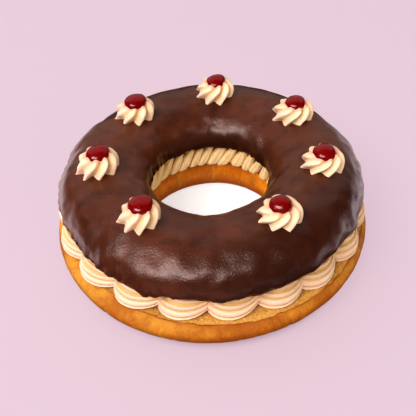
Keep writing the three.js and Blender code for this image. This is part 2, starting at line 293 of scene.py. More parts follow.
class FinishColours(bpy.types.PropertyGroup):
    """Colours of the finishes."""

    crust_gold: colour("Crust gold", "Crust where it baked least", (0.50, 0.157, 0.003))
    # Paler crust towards the cut, also used as painted light on the left side
    crust_pale_and_lit: colour("Crust pale", "Crust towards the cut, and painted light on the left side", (0.73, 0.39, 0.065))
    crust_hole: colour("Crust in the hole", "Crust on the wall of the hole", (0.80, 0.285, 0.003))
    # Browned crust, also used as painted shade low on the hole's wall
    crust_brown_and_shade: colour("Crust brown", "Crust where it baked most, and painted shade low in the hole", (0.37, 0.088, 0.005))
    # Redder crust towards the foot, also used for the rim line and its painted shade
    crust_red: colour("Crust red", "Crust towards the foot, and the rim line with its painted shade", (0.36, 0.070, 0.006))
    crumb_pale: colour("Crumb", "Cut face of the dough", (0.78, 0.47, 0.145))
    crumb_tan: colour("Crumb shade", "Pores and crumbs of the cut face", (0.56, 0.28, 0.060))
    cream: colour("Cream", "Piped cream", (0.895, 0.66, 0.515))
    # A yellower tint for the cream of the fingers round the hole
    cream_hole_tint: colour("Cream by the hole", "Cream round the hole", (0.94, 0.73, 0.42))
    # Painted shade on the cream, laid on by the groove mark
    cream_shade: colour("Cream shade", "Painted shade on the cream", (0.80, 0.50, 0.155))
    chocolate: colour("Chocolate", "Icing", (0.066, 0.0130, 0.0028))
    # Dark spots at random, and painted shade on the icing
    chocolate_dark_and_shade: colour("Dark and shaded chocolate", "Dark spots of icing, and painted shade on it", (0.034, 0.0060, 0.0013))
    # Warm patches at random, and painted light on the icing's left and right
    chocolate_warm_and_lit: colour("Warm chocolate", "Warm patches of icing, and painted light on it", (0.104, 0.0235, 0.0068))
    cherry: colour("Cherry", "Body of a cherry", (0.20, 0.0010, 0.0020))
    cherry_dark: colour("Dark cherry", "Dark patches of the cherries", (0.105, 0.0005, 0.0010))
    syrup: colour("Syrup", "Cream that the cherry has stained", (0.62, 0.11, 0.05))
    cherry_edge: colour("Cherry edge", "Thin syrup at a cherry's edge", (0.55, 0.040, 0.006))
    floor: colour("Floor", "Plain table", (0.10, 0.078, 0.09))
    floor_glow: colour("Floor glow", "Light that the table gives off", (0.68, 0.525, 0.605))
    floor_glow_under: colour("Floor glow under", "The table's light under the bun", (0.20, 0.15, 0.175))
    floor_glow_hole: colour("Floor glow in the hole", "The table's light in the hole", (0.63, 0.65, 0.68))
    floor_hole: colour("Floor in the hole", "Table in the hole", (0.50, 0.50, 0.50))
    table_card: colour("Table cards", "Cards that show in the icing's gloss", (1.0, 0.87, 0.92))
    surroundings: colour("Surroundings", "Light from all round", (1.0, 0.94, 0.90))


class StageSettings(bpy.types.PropertyGroup):
    """Camera and light."""

    elevation: angle("Elevation", "Height of the camera above the horizon", 43.825)
    roll: angle("Roll", "Turn of the camera about its own axis", -2.1475)
    distance: length("Distance", "From the camera to what it looks at", 0.540)
    target_height: length("Target height", "Height of the point it looks at", 0.030)
    lens: number("Lens", "Focal length in millimetres", 59.59)
    shift_x: number("Shift X", "Sideways shift of the frame", -0.00894)
    shift_y: number("Shift Y", "Upward shift of the frame", -0.01291)
    ambient: number("Ambient", "Strength of the light from all round", 0.15)
    floor_size: length("Floor size", "Side of the table", 6.0)


GROUPS = {
    "bun": BunSizes,
    "dome": DomeSizes,
    "cream": CreamSizes,
    "topping": ToppingSizes,
    "colours": FinishColours,
    "stage": StageSettings,
}


def settings(group):
    """One of the groups above, as the scene holds it."""
    return getattr(bpy.context.scene, f"doughnut_{group}")


# Meshes

def add(primitive, **how):
    """Adds a primitive with nothing else selected, and returns its object."""
    bpy.ops.object.select_all(action="DESELECT")
    primitive(**how)
    return bpy.context.active_object


def select_only(*pieces):
    """Selects these pieces and nothing else; the first is the active one."""
    bpy.ops.object.select_all(action="DESELECT")
    for piece in pieces:
        piece.select_set(True)
    bpy.context.view_layer.objects.active = pieces[0]


@contextmanager
def editing(piece):
    """Edit mode on one piece, with all of it selected at first."""
    select_only(piece)
    bpy.ops.object.mode_set(mode="EDIT")
    bpy.ops.mesh.select_all(action="SELECT")
    yield
    bpy.ops.object.mode_set(mode="OBJECT")


def pick(piece, wanted):
    """Selects, in edit mode, the vertices that are wanted and no others."""
    shape = bmesh.from_edit_mesh(piece.data)
    for vertex in shape.verts:
        vertex.select = wanted(vertex)
    shape.select_flush_mode()
    bmesh.update_edit_mesh(piece.data)


def close_up(piece):
    """Merges doubles, then turns the faces outwards."""
    with editing(piece):
        bpy.ops.mesh.remove_doubles(threshold=1e-6)
        bpy.ops.mesh.normals_make_consistent(inside=False)


def points_of(piece):
    """The places of a piece's vertices, one row each."""
    flat = np.empty(3 * len(piece.data.vertices), np.float32)
    piece.data.vertices.foreach_get("co", flat)
    return flat.reshape(-1, 3).astype(float)


def normals_of(piece):
    """The normals at a piece's vertices, one row each."""
    flat = np.empty(3 * len(piece.data.vertices), np.float32)
    piece.data.vertex_normals.foreach_get("vector", flat)
    return flat.reshape(-1, 3).astype(float)


def move_to(piece, points):
    """Puts a piece's vertices in their places."""
    piece.data.vertices.foreach_set("co", np.asarray(points, np.float32).ravel())
    piece.data.update()


def mark(piece, name, values):
    """Writes one number for each vertex, for a finish to read."""
    layer = piece.data.attributes.get(name) or piece.data.attributes.new(name, "FLOAT", "POINT")
    layer.data.foreach_set("value", np.asarray(values, np.float32))


def marked(piece, name):
    """Reads back the numbers that mark wrote."""
    values = np.empty(len(piece.data.vertices), np.float32)
    piece.data.attributes[name].data.foreach_get("value", values)
    return values.astype(float)


def copy_of(model, name):
    """A copy of a piece with its own mesh."""
    copy = model.copy()
    copy.data = model.data.copy()
    copy.name = copy.data.name = name
    bpy.context.scene.collection.objects.link(copy)
    return copy


def joined(name, pieces):
    """Several pieces as one."""
    select_only(*pieces)
    bpy.ops.object.join()
    whole = bpy.context.active_object
    whole.name = whole.data.name = name
    return whole


def dressed(piece, finish, slot, *nodes):
    """A finished piece: smooth, with its finish, riding on the body and standing for its nodes."""
    piece.data.materials.clear()
    piece.data.materials.append(finish)
    select_only(piece)
    bpy.ops.object.shade_smooth()
    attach(piece, BODY)
    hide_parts(*nodes)


def arc(middle, reach, start, end, steps):
    """Points of an ellipse's arc between two angles in degrees."""
    turns = np.radians(np.linspace(start, end, steps))
    return [(middle[0] + reach[0] * math.cos(a), middle[1] + reach[1] * math.sin(a)) for a in turns]


def line(start, end, steps):
    """Points of a straight line, both ends included."""
    return [tuple(point) for point in np.linspace(start, end, steps)]


def spun_ring(name, section, steps):
    """A closed section, given as radius and height, spun round the axis of the hole."""
    piece = add(bpy.ops.mesh.primitive_circle_add, vertices=len(section), radius=0.01)
    piece.name = piece.data.name = name
    move_to(piece, [(radius, 0, height) for radius, height in section])
    with editing(piece):
        bpy.ops.mesh.spin(steps=steps, angle=TURN, center=(0, 0, 0), axis=(0, 0, 1))
    close_up(piece)
    return piece


def star_rope(name, ridges, outline, radius, stations):
    """A rope of star-shaped section, extruded upwards through stations: height and scale.

    The outline gives the section's reach across one ridge, from groove to groove, as shares of the radius.
    """
    count = len(outline)
    rope = add(bpy.ops.mesh.primitive_circle_add, vertices=ridges * count, radius=radius, fill_type="NGON")
    rope.name = rope.data.name = name
    deepest = 1 - min(outline) or 1
    # How deep in a groove each point lies; the cream's finish paints this as shade
    mark(rope, "groove", [(1 - outline[v.index % count]) / deepest for v in rope.data.vertices])
    with editing(rope):
        for step, reach in enumerate(outline):
            pick(rope, lambda vertex, step=step: vertex.index % count == step)
            bpy.ops.transform.resize(value=(reach, reach, 1), center_override=(0, 0, 0))
        bpy.ops.mesh.select_all(action="SELECT")
        height, scale = stations[0]
        bpy.ops.transform.resize(value=(scale, scale, 1), center_override=(0, 0, 0))
        for next_height, next_scale in stations[1:]:
            rise = {"value": (0, 0, next_height - height)}
            bpy.ops.mesh.extrude_region_move(TRANSFORM_OT_translate=rise)
            grow = next_scale / scale
            bpy.ops.transform.resize(value=(grow, grow, 1), center_override=(0, 0, next_height))
            height, scale = next_height, next_scale
        bpy.ops.mesh.merge(type="CENTER")
    close_up(rope)
    return rope


# Unevenness

def wave_sum(waves, around):
    """The sum of some waves at angles round the ring."""
    return sum(size * np.sin(count * around + start) for count, size, start in waves)


def smooth(low, high, values):
    """0 below low, 1 above high, and a soft step between; high may be the lower one."""
    t = np.clip((np.asarray(values) - low) / (high - low), 0, 1)
    return t * t * (3 - 2 * t)


def bell(distance, width):
    """1 at no distance, falling away to nothing over about twice a width."""
    return np.exp(-(distance / width) ** 2)


def lumps(points, size, seed=0.0):
    """Soft noise from about -1 to 1 at points, with lumps of a size."""
    return np.array([noise.noise(point) for point in (np.asarray(points) / size + seed).tolist()])


def wound(around, along, reach=0.1):
    """Angles round the ring and places along its section, laid out so that noise on them closes up."""
    return np.column_stack([reach * np.cos(around), reach * np.sin(around), along])


def angle_gap(around, degrees):
    """How far angles are from one given in degrees, the short way round."""
    return (around - math.radians(degrees) + math.pi) % TURN - math.pi


def facing(around, degrees):
    """1 at angles that face a direction in degrees, and -1 at those that face away from it."""
    return np.cos(around - math.radians(degrees))


def creased(around, height, radius, degrees, width, sway):
    """1 along a crease that runs up the side of the ring at a radius, and 0 away from it."""
    aside, speed = sway
    return bell(angle_gap(around, degrees) * radius + aside * np.sin(height * speed), width)


def polar(points):
    """Angle round the ring and distance from its axis of points."""
    return np.arctan2(points[:, 1], points[:, 0]), np.hypot(points[:, 0], points[:, 1])


def from_polar(around, reach, height):
    """Points from their angle, distance from the axis and height."""
    return np.column_stack([reach * np.cos(around), reach * np.sin(around), height])


def as_baked(points):
    """Points of the even ring, moved to where the uneven bun has them."""
    around, reach = polar(points)
    height = points[:, 2] * (1 + wave_sum(RISE_WAVES, around))
    return from_polar(around, reach + wave_sum(SWELL_WAVES, around), height)


def side_fall(reach, most):
    """How far the lower half's side lies under its cut, at distances up to a share of its width."""
    bun = settings("bun")
    past_cut = np.clip((reach - bun.cut_outer) / (bun.radius - bun.cut_outer), 0, most)
    return (bun.cut_height - bun.widest_height) * (1 - np.sqrt(1 - past_cut ** 2))


def dome_quarter(outside):
    """Width of the dome's quarter round and height of its foot, on the outer side or the inner one."""
    dome = settings("dome")
    outer_span = dome.outer_radius - dome.crest_radius
    inner_span = dome.crest_radius - dome.inner_radius
    foot = np.where(outside, dome.outer_height, dome.inner_height)
    return np.where(outside, outer_span, inner_span), foot


def icing_top(x, y):
    """Height of the icing over points."""
    dome = settings("dome")
    around = np.arctan2(y, x)
    offset = np.hypot(x, y) - wave_sum(SWELL_WAVES, around) - dome.crest_radius
    span, foot = dome_quarter(offset > 0)
    drop = np.sqrt(np.clip(1 - (offset / span) ** 2, 0, 1))
    return (foot + (dome.crest_height - foot) * drop) * (1 + wave_sum(RISE_WAVES, around))


# Finishes

class Wire:
    """An output of a node. Arithmetic on it adds Math nodes."""

    def __init__(self, finish, socket):
        self.finish = finish
        self.socket = socket

    def _math(self, operation, first, second):
        return self.finish.node("ShaderNodeMath", {"operation": operation}, {0: first, 1: second})

    def __add__(self, other):
        return self._math("ADD", self, other)

    def __radd__(self, other):
        return self._math("ADD", other, self)

    def __sub__(self, other):
        return self._math("SUBTRACT", self, other)

    def __rsub__(self, other):
        return self._math("SUBTRACT", other, self)

    def __mul__(self, other):
        return self._math("MULTIPLY", self, other)

    def __rmul__(self, other):
        return self._math("MULTIPLY", other, self)

    def __pow__(self, other):
        return self._math("POWER", self, other)


class Finish:
    """A material that is being made up."""

    def __init__(self, name):
        self.material = bpy.data.materials.new(name)
        self.material.use_nodes = True
        self.tree = self.material.node_tree
        self.tree.nodes.clear()

    def node(self, kind, how=None, inputs=None, output=0):
        """Adds a node, sets it up, then sets or links its inputs; returns one of its outputs."""
        made = self.tree.nodes.new(kind)
        for key, value in (how or {}).items():
            setattr(made, key, value)
        for key, value in (inputs or {}).items():
            if isinstance(value, Wire):
                self.tree.links.new(value.socket, made.inputs[key])
            else:
                made.inputs[key].default_value = value
        return Wire(self, made.outputs[output]) if made.outputs else None

    def place(self):
        """Object coordinates."""
        return self.node("ShaderNodeTexCoord", output="Object")

    def parts(self, vector):
        """The three numbers of a vector."""
        first = self.node("ShaderNodeSeparateXYZ", None, {0: vector})
        return [Wire(self, socket) for socket in first.socket.node.outputs]

    def attribute(self, name):
        """A number that was marked on the mesh."""
        return self.node("ShaderNodeAttribute", {"attribute_name": name}, output="Fac")

    def stretched(self, vector, x, y, z):
        """A vector with its three numbers multiplied."""
        return self.node("ShaderNodeVectorMath", {"operation": "MULTIPLY"}, {0: vector, 1: (x, y, z)})

    def noise(self, vector, size, detail=2.0, roughness=0.5):
        """Soft noise from 0 to 1 with lumps of a size."""
        values = {"Vector": vector, "Scale": 1 / size, "Detail": detail, "Roughness": roughness}
        return self.node("ShaderNodeTexNoise", None, values)

    def step(self, value, low, high):
        """A soft step from 0 at low to 1 at high."""
        how = {"interpolation_type": "SMOOTHSTEP", "clamp": True}
        return self.node("ShaderNodeMapRange", how, {"Value": value, "From Min": low, "From Max": high})

    def mix(self, factor, one, other):
        """One colour where the factor is 0, and the other where it is 1."""
        paint = [value if isinstance(value, Wire) else (*value, 1) for value in (one, other)]
        how = {"data_type": "RGBA", "clamp_factor": True}
        return self.node("ShaderNodeMix", how, {0: factor, 6: paint[0], 7: paint[1]}, output=2)

    def layered(self, colour, *coats):
        """A colour under coats, each given as how much of it there is and its own colour."""
        for share_of_coat, coat in coats:
            colour = self.mix(share_of_coat, colour, coat)
        return colour

    def bump(self, height, distance, over=None):
        """A normal from a height between 0 and 1 that stands for a distance."""
        values = {"Height": height, "Distance": distance, "Strength": 1.0}
        if over is not None:
            values["Normal"] = over
        return self.node("ShaderNodeBump", None, values)

    def surface(self, **values):
        """The surface, from values for the shader's sockets with _ for spaces; returns the material."""
        sockets = {key.replace("_", " "): value for key, value in values.items()}
        shader = self.node("ShaderNodeBsdfPrincipled", None, sockets)
        self.node("ShaderNodeOutputMaterial", None, {"Surface": shader})
        return self.material


def dough_finish():
    """Baked crust, and the crumb where the bun was cut."""
    tint = settings("colours")
    finish = Finish("baked_dough")
    place = finish.place()
    x, y, z = finish.parts(place)
    reach = (x * x + y * y) ** 0.5
    crumb = finish.attribute("crumb")
    # The rim mark gives the crust's dark edge line round the cut, plus painted shade that darkens the line
    # and the reddish band under it
    past_rim = finish.attribute("past_rim")
    rim_line_and_shade = finish.attribute("rim_line_and_shade")
    rim = rim_line_and_shade * (1 - finish.step((past_rim * past_rim) ** 0.5, 0.0002, 0.0008))
    below_rim = rim_line_and_shade * (1 - finish.step(past_rim, 0.0003, 0.0035))
    patches = finish.noise(place, 0.030, 2.0)
    mottle = finish.noise(place, 0.005, 4.0, 0.6)
    streaks = finish.noise(finish.stretched(place, 1, 1, 0.22), 0.004, 2.0)
    flecks = finish.noise(place, 0.0017, 3.0, 0.7)
    foot = 1 - finish.step(z + 0.008 * (patches - 0.5) + 0.003 * (mottle - 0.5), 0.002, 0.017)
    above = finish.step(z + 0.006 * (patches - 0.5) + 0.003 * (mottle - 0.5), 0.0155, 0.0260)
    hole = 1 - finish.step(reach, 0.058, 0.066)
    baked = 0.75 * finish.step(patches + 0.35 * mottle + 0.25 * streaks, 0.62, 0.98)
    blotches = finish.noise(finish.stretched(place, 1, 1, 0.55), 0.010, 3.0, 0.55)
    # Painted light: the crust is paler on the left side, where the key light falls
    painted_light_left = finish.step(0.02 * (patches - 0.5) - x, 0.0, 0.09)
    # Painted shade at the foot of the hole's wall
    lower = 1 - finish.step(z + 0.008 * (patches - 0.5), 0.002, 0.017)
    crust = finish.layered(
        tint.crust_gold,
        (above * 0.8, tint.crust_pale_and_lit),
        (painted_light_left * 0.35, tint.crust_pale_and_lit),
        (hole, tint.crust_hole),
        (finish.step(streaks, 0.50, 0.72) * 0.45, tint.crust_pale_and_lit),
        (baked, tint.crust_brown_and_shade),
        (finish.step(flecks, 0.55, 0.8) * 0.25, tint.crust_brown_and_shade),
        (finish.step(blotches, 0.50, 0.68) * 0.32 * (1 - hole), tint.crust_red),
        (foot * 0.8, tint.crust_red),
        (hole * 0.95 * lower, tint.crust_brown_and_shade),
        (finish.attribute("crease") * 0.7, tint.crumb_tan),
        (below_rim * 0.4, tint.crust_red),
        (rim, tint.crust_red),
    )
    pores = finish.noise(place, 0.0016, 3.0, 0.65)
    between_pores = finish.step(pores + 0.25 * (patches - 0.5), 0.30, 0.75)
    cut = finish.mix(between_pores, tint.crumb_tan, tint.crumb_pale)
    skin = finish.noise(finish.stretched(place, 1, 1, 0.45), 0.0022, 3.0, 0.6)
    relief = finish.bump((skin + 0.6 * flecks + streaks) * (1 - crumb), 0.00075)
    relief = finish.bump(pores * crumb, 0.0006, relief)
    return finish.surface(
        Base_Color=finish.mix(crumb * (1 - 0.8 * rim), crust, cut),
        Roughness=0.42 + 0.10 * mottle + 0.40 * crumb,
        Normal=relief,
        Subsurface_Weight=0.08,
        Subsurface_Radius=(1.0, 0.45, 0.15),
        Subsurface_Scale=0.003,
        Specular_IOR_Level=0.1,
    )


def cream_finish():
    """Piped cream, with painted shade in its grooves and wherever a piece marks it as shaded."""
    tint = settings("colours")
    finish = Finish("piped_cream")
    place = finish.place()
    groove = finish.attribute("groove")
    cloud = finish.noise(place, 0.012, 2.0)
    grain = finish.noise(place, 0.0011, 3.0, 0.6)
    # Painted shade: the groove mark, high in grooves and where pieces mark shade, turns the cream darker
    # and tan
    painted_shade = finish.step(groove + 0.25 * (cloud - 0.5), 0.26, 1.0)
    relief = finish.bump(grain, 0.00018)
    piped = finish.layered(
        tint.cream,
        (finish.attribute("hole_tint"), tint.cream_hole_tint),
        (painted_shade * 0.8, tint.cream_shade),
        (finish.attribute("syrup") * (0.1 + 0.6 * cloud), tint.syrup),
    )
    return finish.surface(
        Base_Color=piped,
        Roughness=0.40 + 0.15 * grain,
        Normal=relief,
        Subsurface_Weight=0.12,
        Subsurface_Radius=(1.0, 0.78, 0.50),
        Subsurface_Scale=0.0024,
    )


def chocolate_finish():
    """Chocolate icing with a satin skin."""
    tint = settings("colours")
    finish = Finish("chocolate_icing")
    place = finish.place()
    cloud = finish.noise(place, 0.024, 3.0)
    grain = finish.noise(place, 0.0013, 3.0, 0.6)
    spots = finish.noise(place, 0.010, 3.0, 0.6)
    skin = finish.layered(
        tint.chocolate,
        # Warm patches at random, then painted light on the left and right sides
        (finish.step(cloud, 0.35, 0.7), tint.chocolate_warm_and_lit),
        (finish.attribute("icing_light") * 0.7, tint.chocolate_warm_and_lit),
        # Dark spots at random, then painted shade where the icing is marked shaded
        (finish.step(spots, 0.48, 0.68) * 0.55, tint.chocolate_dark_and_shade),
        (finish.attribute("icing_shade") * 0.8, tint.chocolate_dark_and_shade),
    )
    return finish.surface(
        Base_Color=skin,
        Roughness=0.23 + 0.12 * cloud + 0.08 * grain,
        Normal=finish.bump(grain, 0.00027),
        Specular_IOR_Level=0.72,
        Specular_Tint=(1.0, 0.84, 0.82, 1.0),
    )


def cherry_finish():
    """Glazed cherry, paler where its syrup thins out."""
    tint = settings("colours")
    finish = Finish("glazed_cherry")
    place = finish.place()
    edge = finish.attribute("edge")
    flesh = finish.noise(place, 0.0035, 3.0, 0.65)
    skin = finish.mix(finish.step(flesh, 0.45, 0.70) * 0.6, tint.cherry, tint.cherry_dark)
    return finish.surface(
        Base_Color=finish.mix(edge * (0.55 + 0.45 * flesh), skin, tint.cherry_edge),
        Roughness=0.10 + 0.10 * flesh,
        Normal=finish.bump(flesh, 0.0006),
        Specular_IOR_Level=0.2,
        Coat_Weight=0.6,
        Coat_Roughness=0.03,
        Subsurface_Weight=0.05,
        Subsurface_Radius=(1.0, 0.12, 0.08),
        Subsurface_Scale=0.003,
    )


def floor_finish():
    """Plain pale table, which gives off light so that shadows stay faint, and is whitest in the hole."""
    tint = settings("colours")
    finish = Finish("pale_table")
    x, y, _ = finish.parts(finish.place())
    reach = (x * x + y * y) ** 0.5
    inside = 1 - finish.step(reach, 0.054, 0.060)
    # The glow is lower under the bun, which paints a faint shadow round its foot
    glow = finish.mix(finish.step(reach, 0.102, 0.117), tint.floor_glow_under, tint.floor_glow)
    return finish.surface(
        Base_Color=finish.mix(inside, tint.floor, tint.floor_hole),
        Roughness=0.75,
        Emission_Color=finish.mix(inside, glow, tint.floor_glow_hole),
        Emission_Strength=1.0,
    )


# Pieces

class DOUGHNUT_OT_base(bpy.types.Operator):
    """Bakes the lower half of the bun, with its cut face and the crust's edge round it."""

    bl_idname = "doughnut.base"
    bl_label = "Lower half"

    def execute(self, context):
        bun = settings("bun")
        base = spun_ring("base", self.section(bun), 600)
        self.shape(base, bun)
        dressed(base, dough_finish(), "dough", "dough_base")
        return {"FINISHED"}

    def section(self, bun):
        """From the outer foot, over the side and the cut, down the hole, to the underside."""
        side, top, waist = bun.widest_height, bun.cut_height, bun.hole_height
        outer_hidden, inner_hidden = HIDDEN_CUT
        return (
            arc((bun.foot_outer, side), (bun.radius - bun.foot_outer, side), -90, 0, 18)
            + arc((bun.cut_outer, side), (bun.radius - bun.cut_outer, top - side), 0, 90, 18)
            + line((bun.cut_outer, top), (outer_hidden + 4 * MM, top), 12)
            + line((outer_hidden, top), (inner_hidden, top), 5)
            + line((inner_hidden - 3 * MM, top), (bun.cut_inner, top), 7)
            + arc((bun.cut_inner, waist), (bun.cut_inner - bun.hole_radius, top - waist), 90, 180, 10)
            + arc((bun.foot_inner, waist), (bun.foot_inner - bun.hole_radius, waist), 180, 270, 10)
            + line((UNDERSIDE[0], 0), (UNDERSIDE[1], 0), 3)
        )

    def shape(self, base, bun):
        """Gives the even ring its crust, its cut face and its creases."""
        points = points_of(base)
        around, reach = polar(points)
        height = points[:, 2]
        outside = reach > OUTER_SIDE
        upper = outside & (height > bun.widest_height)
        spread = bun.side_spread * np.cos(2 * around)
        on_side = np.clip((bun.radius - reach) / (bun.radius - bun.cut_outer), 0, 1)
        on_cut = np.clip((reach - SPREADS_FROM) / (bun.cut_outer - SPREADS_FROM), 0, 1)
        shift = np.where(upper, spread * np.where(reach > bun.cut_outer, on_side, on_cut), 0)

        edge = wound(around, 0 * around)
        wobble = 0.9 * MM * lumps(edge, 0.010) + 0.6 * MM * lumps(edge, 0.004, 7)
        rim_radius = bun.rim_radius + bun.rim_offset * facing(around, OFF_MIDDLE) + wobble
        past_rim = reach + shift - rim_radius
        hole_edge = ~outside & (height > HOLE_EDGE_HEIGHT)
        rim = np.where(upper, bell(past_rim, 0.9 * MM), 0)
        inner_rim = np.where(hole_edge, bell(reach - HOLE_EDGE, 0.7 * MM), 0)
        crumb = np.where(upper, smooth(0.3 * MM, -0.4 * MM, past_rim), 0)
        level = ~outside & (height > bun.cut_height - 0.5 * MM)
        inner_crumb = np.where(level, smooth(bun.cut_inner, bun.cut_inner + 1.2 * MM, reach), 0)
        crumb = np.maximum(crumb, inner_crumb)

        swell = 0.45 * MM * lumps(points, 0.032) + 0.18 * MM * lumps(wound(around, height * 0.3), 0.009, 3)
        swell += 0.12 * MM * lumps(wound(around, height * 0.5), 0.0035, 5) * (1 - crumb)
        above_foot = smooth(0.0, 0.006, height) * smooth(0.002, 0.014, height)
        on_crust = np.where(outside, above_foot * (1 - crumb), 0)
        for degrees, width, depth in CRUST_CREASES:
            swell -= depth * on_crust * creased(around, height, bun.radius, degrees, width, CRUST_SWAY)
        in_hole = np.where(outside, 0, smooth(0.058, 0.054, reach)) * smooth(0.003, 0.012, height)
        crease = 0 * around
        for degrees, width, depth in HOLE_CREASES:
            groove = in_hole * creased(around, height, bun.hole_radius, degrees, width, HOLE_SWAY)
            crease += groove
            swell -= depth * groove
        swell += crumb * 0.14 * MM * lumps(points, 0.0022, 11)
        swell *= np.where(height > 1e-5, 1, 0)

        moved = from_polar(around, reach + shift, height) + normals_of(base) * swell[:, None]
        moved[:, 2] += 0.45 * MM * (rim + 0.6 * inner_rim) - 0.25 * MM * crumb
        moved[:, 2] = np.maximum(moved[:, 2], 0)
        move_to(base, as_baked(moved))
        mark(base, "crumb", crumb)
        # The edge line is partly the crust's edge and partly painted shade, strongest towards the front
        # right, away from the key light
        to_right = smooth(-0.1, 0.6, facing(around, -40))
        rim_line_and_shade = (0.1 + 0.9 * to_right) * (0.55 + 0.45 * smooth(-0.3, 0.3, lumps(edge, 0.014, 31)))
        past_hole_edge = np.where(hole_edge, reach - HOLE_EDGE, FAR)
        mark(base, "past_rim", np.where(outside, np.where(upper, past_rim, FAR), past_hole_edge))
        mark(base, "rim_line_and_shade", np.where(outside, rim_line_and_shade, 0.5))
        mark(base, "crease", crease)


def dome_section(depth, foot, steps, foot_steps):
    """The dome at a depth under the icing, from its foot outside, over the crest, to its foot inside."""
    dome = settings("dome")
    outer_reach = dome.outer_radius - dome.crest_radius - depth
    inner_reach = dome.crest_radius - dome.inner_radius - depth
    bottom = settings("bun").cut_height + settings("cream").height
    crest = dome.crest_height - depth

    def side(radius, tuck, widest, start, end):
        """Points of a side, which draws in by a tuck towards its foot."""
        heights = np.linspace(start, end, foot_steps)
        return [(radius + tuck * ((widest - h) / (widest - bottom)) ** 2, h) for h in heights]

    outer, inner = dome.outer_height, dome.inner_height
    middle = dome.crest_radius
    return (
        side(middle + outer_reach, -dome.tuck_outer, outer, foot, outer)
        + arc((middle, outer), (outer_reach, crest - outer), 0, 90, steps)
        + arc((middle, inner), (inner_reach, crest - inner), 90, 180, steps)
        + side(middle - inner_reach, dome.tuck_inner, inner, inner, foot)
    )


class DOUGHNUT_OT_lid(bpy.types.Operator):
    """Bakes the upper half of the bun, which shows in a thin line under the icing."""

    bl_idname = "doughnut.lid"
    bl_label = "Upper half"

    def execute(self, context):
        dome = settings("dome")
        foot = settings("bun").cut_height + settings("cream").height + dome.gap
        rounding = 0.6 * MM
        edge = 4 * MM
        section = dome_section(dome.icing + dome.gap, foot + rounding, 14, 6)
        outer, inner = section[0][0], section[-1][0]
        section += line((inner + rounding, foot), (inner + edge, foot), 3)
        section += line((outer - edge, foot), (outer - rounding, foot), 3)
        lid = spun_ring("lid", section, 360)
        points = points_of(lid)
        around, _ = polar(points)
        crumb = smooth(foot + 0.5 * MM, foot + 0.1 * MM, points[:, 2])
        swell = 0.25 * MM * lumps(wound(around, points[:, 2] * 0.4), 0.008, 2)
        move_to(lid, as_baked(points + normals_of(lid) * swell[:, None]))
        mark(lid, "crumb", crumb)
        dressed(lid, bpy.data.materials["baked_dough"], "dough", "dough_top")
        return {"FINISHED"}


